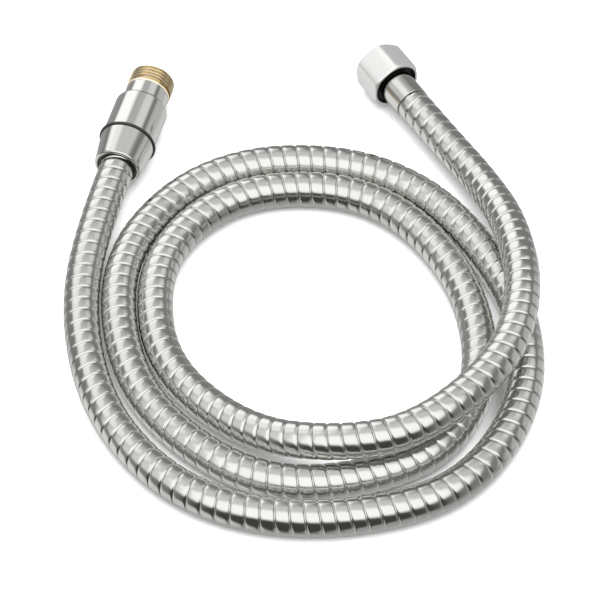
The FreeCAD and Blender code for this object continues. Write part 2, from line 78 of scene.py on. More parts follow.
# The hose's route from the swivel to the nut, in metres: the part's own points, some of them
# moved by up to four millimetres to where the photograph shows that stretch.
ROUTE: Tuple[Point3, ...] = (
    (-0.0816, 0.0764, 0.0134), (-0.093, 0.035, 0.0134), (-0.1, -0.012, 0.009),
    (-0.0908, -0.0637, 0.008), (-0.0683, -0.1005, 0.008), (-0.038, -0.123, 0.008),
    (0.001, -0.131, 0.008), (0.0445, -0.1245, 0.008), (0.0725, -0.1085, 0.008),
    (0.092, -0.079, 0.008), (0.1, -0.044, 0.008), (0.0935, -0.0015, 0.008),
    (0.067, 0.044, 0.008), (0.041, 0.0655, 0.008), (0.011, 0.075, 0.008),
    (-0.027, 0.073, 0.008), (-0.059, 0.054, 0.008), (-0.082, 0.016, 0.008),
    (-0.0815, -0.032, 0.008), (-0.0658, -0.0724, 0.008), (-0.0305, -0.1045, 0.008),
    (0.004, -0.1125, 0.008), (0.0445, -0.102, 0.008), (0.066, -0.084, 0.008),
    (0.0795, -0.05, 0.008), (0.075, -0.005, 0.008), (0.053, 0.036, 0.008),
    (0.022, 0.0575, 0.008), (-0.0215, 0.058, 0.008), (-0.052, 0.0375, 0.008),
    (-0.0675, 0.004, 0.008), (-0.0621, -0.0463, 0.008), (-0.026, -0.086, 0.012),
    (0.014, -0.1015, 0.023), (0.051, -0.0955, 0.026), (0.088, -0.0575, 0.026),
    (0.0985, -0.017, 0.026), (0.0935, 0.0255, 0.021), (0.081, 0.059, 0.0125),
    (0.0649, 0.0832, 0.013), (0.0507, 0.1062, 0.013),
)


class Slot(Enum):
    """Finishes, each a material slot of the record or, after a slash, a variation of one."""

    HOSE = "chrome_hose"
    CHROME = "chrome_fittings"
    SATIN = "chrome_fittings/satin"
    RECESS = "chrome_fittings/recess"
    BRASS = "brass"
    BARE_RIM = "brass/bare rim"
    SHADE_PAINTED_BRASS = "brass/dull"
    RUBBER = "black_rubber"
    DARK_PLASTIC = "dark_plastic"
    WHITE_PLASTIC = "white_plastic"
    TUBE = "tube_rubber"
    STEEL = "steel"

    @property
    def recorded(self) -> str:
        """The record's own name of the slot."""
        return self.value.split("/")[0]


class Body(Enum):
    """Bodies of the part that pieces of the scene ride on."""

    HOSE = "hose"
    SWIVEL = "swivel"
    NUT = "nut"


class Gender(Enum):
    """Side of a wall that a thread is cut into, with the maths that keeps the cut."""

    MALE = "MINIMUM"
    FEMALE = "MAXIMUM"


Finishes = Dict[Slot, Material]
SOCKETS = {float: "Float", int: "Int", Vector: "Vector", Material: "Material"}


class Nodes:
    """Small helper that adds and links nodes of one tree."""

    def __init__(self, tree: Tree) -> None:
        """Keep the tree that the nodes go into."""
        self.tree = tree

    def add(self, kind: str, inputs: Optional[Dict[object, object]] = None,
            **settings: object) -> Node:
        """Add a node, set its options, and set or link its inputs.

        Args:
            kind: The node's type name.
            inputs: Socket names or numbers, with a value or an output socket for each.
            settings: Options of the node itself.

        Returns:
            The new node.
        """
        node = self.tree.nodes.new(kind)
        for name, value in settings.items():
            setattr(node, name, value)
        for name, value in (inputs or {}).items():
            self.feed(node.inputs[name], value)
        return node

    def feed(self, socket: Socket, value: object) -> None:
        """Link an output to a socket, or set the socket's own value.

        Args:
            socket: The input socket.
            value: An output socket, or a plain value.
        """
        if isinstance(value, Socket):
            self.tree.links.new(value, socket)
        else:
            socket.default_value = value

    def math(self, operation: str, *values: object) -> Socket:
        """Add a maths node with its inputs in turn, and give its result."""
        node = self.add("ShaderNodeMath", dict(enumerate(values)), operation=operation)
        return node.outputs[0]

    def vector(self, operation: str, *values: object) -> Socket:
        """Add a vector maths node with its inputs in turn, and give its vector."""
        node = self.add("ShaderNodeVectorMath", dict(enumerate(values)), operation=operation)
        return node.outputs["Vector"]

    def measure(self, operation: str, *values: object) -> Socket:
        """Add a vector maths node that gives a number, such as a length."""
        node = self.add("ShaderNodeVectorMath", dict(enumerate(values)), operation=operation)
        return node.outputs["Value"]

    def scaled(self, vector: object, factor: object) -> Socket:
        """Give a vector times a number."""
        node = self.add("ShaderNodeVectorMath", {0: vector, "Scale": factor}, operation="SCALE")
        return node.outputs["Vector"]

    def noise(self, place: object, scale: float, detail: float) -> Socket:
        """Add a noise texture with so many cells for each metre, and give its value."""
        fed = {"Vector": place, "Scale": scale, "Detail": detail, "Roughness": 0.6}
        return self.add("ShaderNodeTexNoise", fed).outputs["Fac"]

    def bump(self, height: object, depth: float, **under: object) -> Socket:
        """Add a bump so many metres deep, on another bump's Normal where one is given."""
        fed = {"Height": height, "Distance": depth, "Strength": 1.0, **under}
        return self.add("ShaderNodeBump", fed).outputs["Normal"]

    def smooth(self, value: object, start: float, end: float) -> Socket:
        """Rise smoothly from 0 to 1 while a value goes from a start to an end."""
        fed = {"Value": value, "From Min": start, "From Max": end}
        return self.add("ShaderNodeMapRange", fed, interpolation_type="SMOOTHSTEP").outputs["Result"]

    def blend(self, share: object, first: object, second: object) -> Socket:
        """Blend two colours, with a share of the second one."""
        fed = {"Factor": share, "A": first, "B": second}
        return self.add("ShaderNodeMix", fed, data_type="RGBA").outputs["Result"]

    def end_finish(self, inputs: Dict[object, object]) -> None:
        """End a material's tree with its shader."""
        shader = self.add("ShaderNodeBsdfPrincipled", inputs)
        self.add("ShaderNodeOutputMaterial", {"Surface": shader.outputs[0]})

    def end_shape(self, shape: object, finish: object, chosen: object = True) -> None:
        """End a geometry tree: make its instances real and set their material.

        Args:
            shape: The geometry.
            finish: Material that it gets.
            chosen: Which faces get the material.
        """
        real = self.add("GeometryNodeRealizeInstances", {"Geometry": shape})
        dressed = self.add("GeometryNodeSetMaterial", {
            "Geometry": real.outputs[0], "Selection": chosen, "Material": finish})
        self.add("NodeGroupOutput", {0: dressed.outputs[0]})


def blank_material(name: str, colour: Colour) -> Tuple[Material, Nodes]:
    """Make a material whose tree is still empty.

    Args:
        name: Name of the material.
        colour: Its colour in a plain viewport.

    Returns:
        The material, and the helper for its tree.
    """
    made = bpy.data.materials.new(name)
    made.use_nodes = True
    made.diffuse_color = (*colour, 1.0)
    made.node_tree.nodes.clear()
    return made, Nodes(made.node_tree)


@dataclass(frozen=True)
class Metal:
    """A polished or machined metal with fine tool marks and soft smudges.

    Attributes:
        name: Name of the material.
        colour: Colour of the metal.
        tint: Colour that it drifts to in patches.
        roughness: Roughness where it is cleanest.
        smudge: How much roughness the smudges add.
        lines: Number of tool marks for each metre across them.
        line_depth: Depth of the tool marks in metres.
        bare: How much of it is clean metal, where the rest is a pale matt grain.
        wave_depth: Depth of the faint unevenness of its polish, in metres.
        drift: Number of changes in a tool mark for each metre along it.
        patches: Number of tinted and smudged patches for each metre.
        waves: Number of waves of its polish for each metre.
    """

    name: str
    colour: Colour
    tint: Colour
    roughness: float
    smudge: float
    lines: float
    line_depth: float
    bare: float = 1.0
    wave_depth: float = 1e-5
    drift: float = 60.0
    patches: float = 75.0
    waves: float = 260.0

    def material(self) -> Material:
        """Build the material.

        Returns:
            The material.
        """
        made, nodes = blank_material(self.name, self.colour)
        place = nodes.add("ShaderNodeTexCoord").outputs["Object"]
        surface = nodes.add("ShaderNodeAttribute", attribute_name=SURFACE).outputs["Vector"]
        run = nodes.add("ShaderNodeMapping", {"Vector": surface,
                                              "Scale": (self.drift, self.lines, 1.0)})
        marks = nodes.noise(run.outputs[0], 1.0, 3.0)
        patches = nodes.noise(place, self.patches, 4.0)
        uneven = nodes.bump(nodes.noise(place, self.waves, 1.0), self.wave_depth)
        nodes.end_finish({
            "Base Color": nodes.blend(patches, (*self.colour, 1.0), (*self.tint, 1.0)),
            "Metallic": self.bare,
            "Roughness": nodes.math("MULTIPLY_ADD", patches, self.smudge, self.roughness),
            "Normal": nodes.bump(marks, self.line_depth, Normal=uneven),
        })
        return made


@dataclass(frozen=True)
class Soft:
    """A rubber or plastic with a fine moulded grain.

    Attributes:
        name: Name of the material.
        colour: Main colour.
        worn: Colour of the paler, worn patches.
        roughness: Roughness away from the worn patches, and within them.
        grain: Number of grains for each metre.
        depth: Depth of the grain in metres.
        patches: Number of worn patches for each metre.
    """

    name: str
    colour: Colour
    worn: Colour
    roughness: Point2
    grain: float
    depth: float
    patches: float = 180.0

    def material(self) -> Material:
        """Build the material.

        Returns:
            The material.
        """
        made, nodes = blank_material(self.name, self.colour)
        place = nodes.add("ShaderNodeTexCoord").outputs["Object"]
        patches = nodes.noise(place, self.patches, 5.0)
        low, high = self.roughness
        nodes.end_finish({
            "Base Color": nodes.blend(patches, (*self.colour, 1.0), (*self.worn, 1.0)),
            "Roughness": nodes.math("MULTIPLY_ADD", patches, high - low, low),
            "Normal": nodes.bump(nodes.noise(place, self.grain, 2.0), self.depth),
        })
        return made


def finishes() -> Finishes:
    """Build the material of every finish.

    Returns:
        The materials by slot.
    """
    made = {
        Slot.HOSE: Metal("bright wound strip", (0.62, 0.625, 0.60), (0.565, 0.565, 0.54),
                         roughness=0.11, smudge=0.12, lines=5000.0, line_depth=1.2e-6),
        Slot.CHROME: Metal("polished chrome", (0.63, 0.635, 0.61), (0.585, 0.59, 0.565),
                           roughness=0.06, smudge=0.08, lines=3500.0, line_depth=5e-7),
        Slot.SATIN: Metal("satin chrome", (0.73, 0.735, 0.72), (0.68, 0.68, 0.67),
                          roughness=0.36, smudge=0.12, lines=3500.0, line_depth=1e-6, bare=0.82),
        # Painted shade: a dark copy of the chrome for the nut's recess, lip and the chamber behind
        # its thread.
        Slot.RECESS: Metal("recess with painted shade", (0.09, 0.09, 0.085), (0.05, 0.05, 0.05),
                           roughness=0.45, smudge=0.20, lines=2500.0, line_depth=3e-6,
                           wave_depth=2e-5),
        Slot.BRASS: Metal("machined brass", (0.82, 0.70, 0.48), (0.68, 0.56, 0.36),
                          roughness=0.20, smudge=0.14, lines=4500.0, line_depth=3e-6),
        Slot.BARE_RIM: Metal("bare turned rim", (0.86, 0.77, 0.61), (0.80, 0.70, 0.54),
                             roughness=0.20, smudge=0.12, lines=4500.0, line_depth=2e-6,
                             bare=0.6),
        # Painted shade: a dark copy of the brass for the tailpiece seen inside the nut.
        Slot.SHADE_PAINTED_BRASS: Metal("brass with painted shade", (0.22, 0.18, 0.11), (0.14, 0.11, 0.07),
                               roughness=0.40, smudge=0.20, lines=2500.0, line_depth=3e-6,
                               wave_depth=2e-5),
        Slot.STEEL: Metal("pressed steel", (0.58, 0.58, 0.59), (0.50, 0.50, 0.50),
                          roughness=0.25, smudge=0.12, lines=2500.0, line_depth=3e-6,
                          wave_depth=2e-5),
        Slot.RUBBER: Soft("black rubber", (0.012, 0.012, 0.012), (0.03, 0.03, 0.03),
                          roughness=(0.32, 0.52), grain=2500.0, depth=1e-5),
        Slot.DARK_PLASTIC: Soft("dark plastic", (0.015, 0.015, 0.015), (0.035, 0.035, 0.035),
                                roughness=(0.28, 0.48), grain=1800.0, depth=8e-6),
        Slot.WHITE_PLASTIC: Soft("white slippery plastic", (0.82, 0.82, 0.79),
                                 (0.74, 0.74, 0.70), roughness=(0.30, 0.50), grain=1500.0,
                                 depth=6e-6),
        Slot.TUBE: Soft("grey water tube", (0.20, 0.20, 0.20), (0.27, 0.27, 0.26),
                        roughness=(0.40, 0.60), grain=1200.0, depth=1e-5),
    }
    return {slot: finish.material() for slot, finish in made.items()}


def show(name: str, mesh: Mesh) -> Piece:
    """Put a mesh into the scene as an object at the origin.

    Args:
        name: Name of the object.
        mesh: Its mesh.

    Returns:
        The object.
    """
    shown = bpy.data.objects.new(name, mesh)
    bpy.context.scene.collection.objects.link(shown)
    return shown


def enclosed(mesh: Mesh) -> float:
    """Measure the volume that a mesh encloses, below zero where it is inside out.

    Args:
        mesh: A closed mesh.

    Returns:
        Its volume in cubic metres.
    """
    shell = bmesh.new()
    shell.from_mesh(mesh)
    volume = shell.calc_volume(signed=True)
    shell.free()
    return volume


def shaping_tree(name: str, start: str, values: Dict[str, object]) -> Tuple[Nodes, Sockets]:
    """Start a geometry node tree with a named input for each of its values.

    Args:
        name: Name of the tree.
        start: Name of the input for the geometry that it starts from.
        values: Value of each further input, whose type decides the input's kind.

    Returns:
        The helper for the tree, and the sockets that give its inputs.
    """
    tree = bpy.data.node_groups.new(name, "GeometryNodeTree")
    kinds = {label: SOCKETS[type(value)] for label, value in values.items()}
    for label, kind in {start: "Geometry", **kinds}.items():
        tree.interface.new_socket(label, in_out="INPUT", socket_type="NodeSocket" + kind)
    tree.interface.new_socket("Shape", in_out="OUTPUT", socket_type="NodeSocketGeometry")
    nodes = Nodes(tree)
    return nodes, nodes.add("NodeGroupInput").outputs


def bake_nodes(piece: Piece, tree: Tree, values: Dict[str, object], name: str) -> Piece:
    """Run a node tree on an object and keep the result as a plain mesh.

    Args:
        piece: The object that the tree starts from, which is used up.
        tree: The geometry node tree.
        values: Value of each named input.
        name: Name of the finished piece.

    Returns:
        The finished piece.
    """
    modifier = piece.modifiers.new("shaping", "NODES")
    modifier.node_group = tree
    for item in tree.interface.items_tree:
        if item.in_out == "INPUT" and item.name in values:
            modifier[item.identifier] = values[item.name]
    bpy.context.view_layer.update()
    evaluated = piece.evaluated_get(bpy.context.evaluated_depsgraph_get())
    mesh = bpy.data.meshes.new_from_object(evaluated)
    mesh.name = name
    bpy.data.objects.remove(piece)
    return show(name, mesh)


def dress(piece: Piece, node: str, body: Body) -> Piece:
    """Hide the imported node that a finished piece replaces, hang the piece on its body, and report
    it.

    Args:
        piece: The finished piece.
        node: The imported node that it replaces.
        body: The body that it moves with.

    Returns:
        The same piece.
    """
    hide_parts(node)
    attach(piece, body.value)
    volume = enclosed(piece.data) / MM ** 3
    log.info("%s: %d faces, %.0f mm3", piece.name, len(piece.data.polygons), volume)
    return piece


def lookup(nodes: Nodes, index: Socket, values: Sequence[float]) -> Socket:
    """Give one of several values by its number.

    Args:
        nodes: The tree that is being built.
        index: Output that gives the number.
        values: The values to choose from.

    Returns:
        The chosen value's socket.
    """
    switch = nodes.add("GeometryNodeIndexSwitch", data_type="FLOAT")
    while len(switch.index_switch_items) < len(values):
        switch.index_switch_items.new()
    nodes.feed(switch.inputs[0], index)
    for number, value in enumerate(values, start=1):
        switch.inputs[number].default_value = value
    return switch.outputs[0]


@dataclass
class Layer:
    """One layer of the hose: a strip wound along the route over a bore.

    Attributes:
        name: Name of the piece.
        route: Points that the layer follows.
        pitch: Distance from one turn of the strip to the next.
        crest: Radius of the strip's top.
        root: Radius at the bottom of the groove between two turns.
        bore: Inner radius of the layer.
        around: Number of mesh columns round the hose.
        strip: Share of the pitch and share of the height, from groove to groove.
    """

    name: str
    route: Sequence[Sequence[float]]
    pitch: float
    crest: float
    root: float
    bore: float
    around: int
    strip: Tuple[Point2, ...]

    def centre(self) -> Piece:
        """Make the smooth centre line.

        Returns:
            A curve object of one spline whose control points are the route's.
        """
        data = bpy.data.curves.new(self.name + "_route", "CURVE")
        data.dimensions = "3D"
        data.resolution_u = 24
        spline = data.splines.new("NURBS")
        spline.points.add(len(self.route) - 1)
        for point, place in zip(spline.points, self.route):
            point.co = (*place, 1.0)
        spline.order_u = 3
        spline.use_endpoint_u = True
        return show(self.name + "_route", data)

    def line(self) -> List[Vector]:
        """Read the points of the centre line.

        Returns:
            The points along it, from the swivel to the nut.
        """
        route = self.centre()
        bpy.context.view_layer.update()
        mesh = bpy.data.meshes.new_from_object(route)
        points = [vertex.co.copy() for vertex in mesh.vertices]
        bpy.data.meshes.remove(mesh)
        bpy.data.objects.remove(route)
        return points

    def winding(self, nodes: Nodes, given: Sockets, strip: Sequence[Point2],
                root: object, height: object) -> Socket:
        """Wind one strip round the route, with its ends closed down to the bore.

        The strip is a long grid.  Its rows run round the hose and its columns across the
        strip, so that the groove lies between the last column of one turn and the first of
        the next.  The first row lies before the first turn, all of it at the bore, and
        closes the layer's end.

        Args:
            nodes: The tree that is being built.
            given: Outputs of the tree's inputs.
            strip: Share of the pitch and share of the height of each column.
            root: Radius where the height is nothing.
            height: Height of the strip's top above that.

        Returns:
            The wound geometry.
        """
        columns = len(strip)
        length = nodes.add("GeometryNodeCurveLength", {"Curve": given["Route"]}).outputs[0]
        turns = nodes.math("CEIL", nodes.math("DIVIDE", length, given["Pitch"]))
        rows = nodes.math("MULTIPLY", nodes.math("ADD", turns, 1.0), given["Around"])
        grid = nodes.add("GeometryNodeMeshGrid", {
            "Size X": 1.0, "Size Y": 1.0, "Vertices Y": columns,
            "Vertices X": nodes.math("ADD", rows, 2.0)})
        index = nodes.add("GeometryNodeInputIndex").outputs[0]
        column = nodes.math("MODULO", index, float(columns))
        # Half a step keeps the division clear of the whole numbers.
        row = nodes.math("FLOOR", nodes.math("DIVIDE", nodes.math("ADD", index, 0.5),
                                             float(columns)))
        turn = nodes.math("DIVIDE", nodes.math("SUBTRACT", row, 1.0), given["Around"])
        share = lookup(nodes, column, [point[0] for point in strip])
        rise = lookup(nodes, column, [point[1] for point in strip])
        along = nodes.math("MULTIPLY", nodes.math("SUBTRACT", nodes.math("ADD", turn, share), 1.0),
                           given["Pitch"])
        held = nodes.math("MINIMUM", nodes.math("MAXIMUM", along, 0.0), length)
        past = nodes.math("ABSOLUTE", nodes.math("SUBTRACT", along, held))
        within = nodes.math("LESS_THAN", past, NEARLY)
        above_bore = nodes.math("SUBTRACT", nodes.math("MULTIPLY_ADD", rise, height, root),
                                given["Bore"])
        radius = nodes.math("MULTIPLY_ADD", above_bore, within, given["Bore"])
        angle = nodes.math("MULTIPLY", nodes.math("FRACT", turn), TURN)
        sample = nodes.add("GeometryNodeSampleCurve", {"Curves": given["Route"],
                                                       "Length": held}, mode="LENGTH")
        normal = sample.outputs["Normal"]
        side = nodes.vector("CROSS_PRODUCT", sample.outputs["Tangent"], normal)
        across = nodes.scaled(normal, nodes.math("COSINE", angle))
        upward = nodes.scaled(side, nodes.math("SINE", angle))
        outward = nodes.scaled(nodes.vector("ADD", across, upward), radius)
        place = nodes.vector("ADD", sample.outputs["Position"], outward)
        marked = nodes.add("GeometryNodeStoreNamedAttribute", {
            "Geometry": grid.outputs["Mesh"], "Name": SURFACE,
            "Value": nodes.add("ShaderNodeCombineXYZ", {
                0: nodes.math("MULTIPLY", turn, TURN * self.crest),
                1: nodes.math("MULTIPLY", share, self.pitch)}).outputs[0]},
            data_type="FLOAT2", domain="CORNER")
        return nodes.add("GeometryNodeSetPosition", {
            "Geometry": marked.outputs[0], "Position": place}).outputs[0]

    def tree(self, values: Dict[str, object]) -> Tree:
        """Build the node tree that makes the layer round a curve.

        Args:
            values: Value of each of its named inputs.

        Returns:
            The node tree.
        """
        nodes, given = shaping_tree(self.name, "Route", values)
        outside = self.winding(nodes, given, self.strip, given["Root"], given["Height"])
        inside = self.winding(nodes, given, ((0.0, 0.0), (1.0, 0.0)), given["Bore"], 0.0)
        turned = nodes.add("GeometryNodeFlipFaces", {"Mesh": inside}).outputs[0]
        joined = nodes.add("GeometryNodeJoinGeometry")
        nodes.feed(joined.inputs[0], turned)
        nodes.feed(joined.inputs[0], outside)
        welded = nodes.add("GeometryNodeMergeByDistance", {"Geometry": joined.outputs[0],
                                                           "Distance": WELD})
        smooth = nodes.add("GeometryNodeSetShadeSmooth", {"Geometry": welded.outputs[0]})
        nodes.end_shape(smooth.outputs[0], given["Finish"])
        return nodes.tree

    def build(self, finish: Material) -> Piece:
        """Wind the layer along its route.

        Args:
            finish: The layer's material.

        Returns:
            The finished piece.
        """
        values = {"Pitch": self.pitch, "Root": self.root, "Height": self.crest - self.root,
                  "Bore": self.bore, "Around": self.around, "Finish": finish}
        piece = bake_nodes(self.centre(), self.tree(values), values, self.name)
        if enclosed(piece.data) < 0.0:
            piece.data.flip_normals()
        return piece


@dataclass(frozen=True)
class Axis:
    """Line that the pieces of one hose end are turned about.

    Attributes:
        base: Point that stations are counted from, in metres.
        along: Direction from the hose outwards, which is level.
    """

    base: Vector
    along: Vector

    @property
    def up(self) -> Vector:
        """Direction straight up, from which angles are counted."""
        return Vector((0.0, 0.0, 1.0))

    @property
    def side(self) -> Vector:
        """Level direction square to the axis, at a quarter of a turn."""
        return self.along.cross(self.up)

    def point(self, station: float, radius: float, angle: float) -> Vector:
        """Place a point by its station and radius in millimetres, and its angle from the top."""
        outward = self.up * math.cos(angle) + self.side * math.sin(angle)
        return self.base + (self.along * station + outward * radius) * MM


@dataclass(frozen=True)
class Corner:
    """One corner of a turned piece's outline, in millimetres.

    Attributes:
        station: Distance along the axis.
        radius: Distance from the axis.
        rounding: Radius that the corner is rounded with.
        row: Longest mesh row from this corner to the next, where it matters.
        finish: Finish from this corner to the next, where it isn't the piece's own.
    """

    station: float
    radius: float
    rounding: float = 0.0
    row: float = 100.0
    finish: Optional[Slot] = None

    @property
    def flat(self) -> Vector:
        """The corner as a point of the outline's plane."""
        return Vector((self.station, self.radius))

    def arc(self, before: Vector, after: Vector, steps: int = 6) -> List[Vector]:
        """Round the corner.

        Args:
            before: The corner before this one.
            after: The corner after it.
            steps: Number of short edges that make the arc.

        Returns:
            The arc's points, with one close to each end that keeps the flats beside it flat.
        """
        here = self.flat
        if not self.rounding:
            return [here]
        back = (before - here).normalized()
        forth = (after - here).normalized()
        half = back.angle(forth) / 2
        turn = math.pi - 2 * half
        reach = self.rounding / math.tan(half)
        centre = here + (back + forth).normalized() * (self.rounding / math.sin(half))
        first = here + back * reach - centre
        last = here + forth * reach - centre
        points = [centre + first + back * self.rounding * GUARD]
        for step in range(steps + 1):
            done = step / steps
            way = first * math.sin((1 - done) * turn) + last * math.sin(done * turn)
            points.append(centre + way / math.sin(turn))
        points.append(centre + last + forth * self.rounding * GUARD)
        return points


@dataclass
class Turned:
    """A piece turned from a closed outline about the axis of its end.

    Attributes:
        name: Name of the piece.
        axis: Axis that it is turned about.
        finish: Finish of the piece.
        corners: Its outline, the outer side running away from the hose.
        around: Number of mesh columns round the axis.
        trim: Gives a point's radius from its radius and angle, where the piece isn't round.
    """

    name: str
    axis: Axis
    finish: Slot
    corners: Sequence[Corner]
    around: int = 128
    trim: Optional[Callable[[float, float], float]] = None

    def rows(self) -> Tuple[List[Vector], List[Slot]]:
        """Round the outline's corners and divide its long spans.

        Returns:
            The outline's points, and the finish from each point to the next.
        """
        count = len(self.corners)
        arcs = []
        for index, corner in enumerate(self.corners):
            before = self.corners[index - 1].flat
            after = self.corners[(index + 1) % count].flat
            arcs.append(corner.arc(before, after))
        points: List[Vector] = []
        kinds: List[Slot] = []
        for index, corner in enumerate(self.corners):
            start = arcs[index][-1]
            end = arcs[(index + 1) % count][0]
            steps = max(1, math.ceil((end - start).length / corner.row))
            span = [start.lerp(end, step / steps) for step in range(1, steps)]
            points += arcs[index] + span
            kinds += [corner.finish or self.finish] * (len(arcs[index]) + len(span))
        return points, kinds

    def build(self, made: Finishes) -> Piece:
        """Turn the piece.

        Args:
            made: The materials by slot.

        Returns:
            The piece's object.
        """
        points, kinds = self.rows()
        count = len(points)
        vertices = []
        for column in range(self.around):
            angle = TURN * column / self.around + math.pi
            for point in points:
                radius = self.trim(point.y, angle) if self.trim else point.y
                vertices.append(self.axis.point(point.x, radius, angle))
        faces = []
        for column in range(self.around):
            here = column * count
            there = (column + 1) % self.around * count
            for row in range(count):
                following = (row + 1) % count
                faces.append((here + row, there + row, there + following, here + following))
        mesh = bpy.data.meshes.new(self.name)
        mesh.from_pydata(vertices, [], faces)
        self.map_surface(mesh, points)
        slots = sorted(set(kinds), key=lambda kind: (kind != self.finish, kind.value))
        for slot in slots:
            mesh.materials.append(made[slot])
        numbers = [slots.index(kinds[row]) for row in range(count)] * self.around
        mesh.polygons.foreach_set("material_index", numbers)
        mesh.shade_smooth()
        mesh.set_sharp_from_angle(angle=SHARP)
        return show(self.name, mesh)

    def map_surface(self, mesh: Mesh, points: Sequence[Vector]) -> None:
        """Lay a map over the piece in metres, round it and along its outline.

        Args:
            mesh: The piece's mesh.
            points: Its outline.
        """
        reached = [0.0]
        for before, after in zip(points, list(points[1:]) + [points[0]]):
            reached.append(reached[-1] + (after - before).length * MM)
        widest = max(point.y for point in points) * MM
        step = TURN * widest / self.around
        layer = mesh.uv_layers.new(name=SURFACE)
        values: List[float] = []
        for column in range(self.around):
            for row in range(len(points)):
                near, far = reached[row], reached[row + 1]
                left, right = column * step, (column + 1) * step
                values += [left, near, right, near, right, far, left, far]
        layer.data.foreach_set("uv", values)


@dataclass
class Thread:
    """A screw thread cut into the wall of a turned piece.

    Attributes:
        axis: Axis that the piece was turned about.
        gender: Whether the thread is cut inwards or outwards.
        start: Station at which the thread starts, in millimetres.
        end: Station at which it ends, in millimetres.
        crest: Radius of the wall that it is cut into, in millimetres.
        pitch: Distance from one turn to the next, in millimetres.
        depth: Depth of the thread, in millimetres.
        margin: How far past each end it may reach, in millimetres.
    """

    axis: Axis
    gender: Gender
    start: float
    end: float
    crest: float
    pitch: float = 25.4 / 14
    depth: float = 1.162
    margin: float = 0.02

    def tree(self, values: Dict[str, object]) -> Tree:
        """Build the node tree that cuts the thread.

        Args:
            values: Value of each of its named inputs.

        Returns:
            The node tree.
        """
        nodes, given = shaping_tree("screw thread", "Blank", values)
        place = nodes.add("GeometryNodeInputPosition").outputs[0]
        offset = nodes.vector("SUBTRACT", place, given["Base"])
        station = nodes.measure("DOT_PRODUCT", offset, given["Along"])
        level = nodes.scaled(given["Along"], station)
        radial = nodes.vector("SUBTRACT", offset, level)
        radius = nodes.measure("LENGTH", radial)
        angle = nodes.math("ARCTAN2", nodes.measure("DOT_PRODUCT", radial, given["Side"]),
                           nodes.measure("DOT_PRODUCT", radial, given["Up"]))
        turns = nodes.math("SUBTRACT", nodes.math("DIVIDE", station, given["Pitch"]),
                           nodes.math("DIVIDE", angle, TURN))
        wave = nodes.math("COSINE", nodes.math("MULTIPLY", turns, TURN))
        cut = nodes.math("MULTIPLY", nodes.math("MULTIPLY_ADD", wave, -0.5, 0.5),
                         given["Depth"])
        inwards = self.gender is Gender.MALE
        wall = nodes.math("SUBTRACT" if inwards else "ADD", given["Crest"], cut)
        wanted = nodes.math(self.gender.value, radius, wall)
        foot = nodes.vector("ADD", given["Base"], level)
        moved = nodes.vector("ADD", foot, nodes.scaled(nodes.vector("NORMALIZE", radial), wanted))
        low = nodes.math("SUBTRACT", given["Start"], given["Margin"])
        high = nodes.math("ADD", given["End"], given["Margin"])
        along = nodes.math("MULTIPLY", nodes.math("GREATER_THAN", station, low),
                           nodes.math("LESS_THAN", station, high))
        off_wall = nodes.math("ABSOLUTE", nodes.math("SUBTRACT", radius, given["Crest"]))
        near = nodes.math("LESS_THAN", off_wall, given["Depth"])
        chosen = nodes.math("MULTIPLY", along, near)
        shaped = nodes.add("GeometryNodeSetPosition", {
            "Geometry": given["Blank"], "Selection": chosen, "Position": moved})
        nodes.end_shape(shaped.outputs[0], given["Finish"], chosen)
        return nodes.tree

    def cut(self, blank: Piece, finish: Material) -> Piece:
        """Cut the thread into a blank.

        Args:
            blank: The turned piece.
            finish: Material of the threaded wall.

        Returns:
            The threaded piece.
        """
        name = blank.name
        blank.name = name + "_blank"
        values = {"Base": self.axis.base, "Along": self.axis.along, "Up": self.axis.up,
                  "Side": self.axis.side, "Finish": finish}
        for size in ("start", "end", "crest", "pitch", "depth", "margin"):
            values[size.title()] = getattr(self, size) * MM
        return bake_nodes(blank, self.tree(values), values, name)


def tip(end: int, before: int) -> Tuple[Vector, Vector]:
    """Give a tip of the hose and its way outwards, from the numbers of the last two points."""
    place = Vector(ROUTE[end])
    return place, (place - Vector(ROUTE[before])).normalized()


@dataclass
class HoseEnd:
    """What the two ends of the hose have in common.

    Attributes:
        made: The materials by slot.
        axis: Axis that the end's pieces are turned about.
    """

    made: Finishes
    axis: Axis = field(init=False)

    def turn(self, name: str, node: str, slot: Slot, body: Body, corners: Sequence[Corner],
             around: int = 128) -> Piece:
        """Turn a piece about the end's axis, and dress it as the node that it replaces."""
        turned = Turned(name, self.axis, slot, corners, around).build(self.made)
        return dress(turned, node, body)


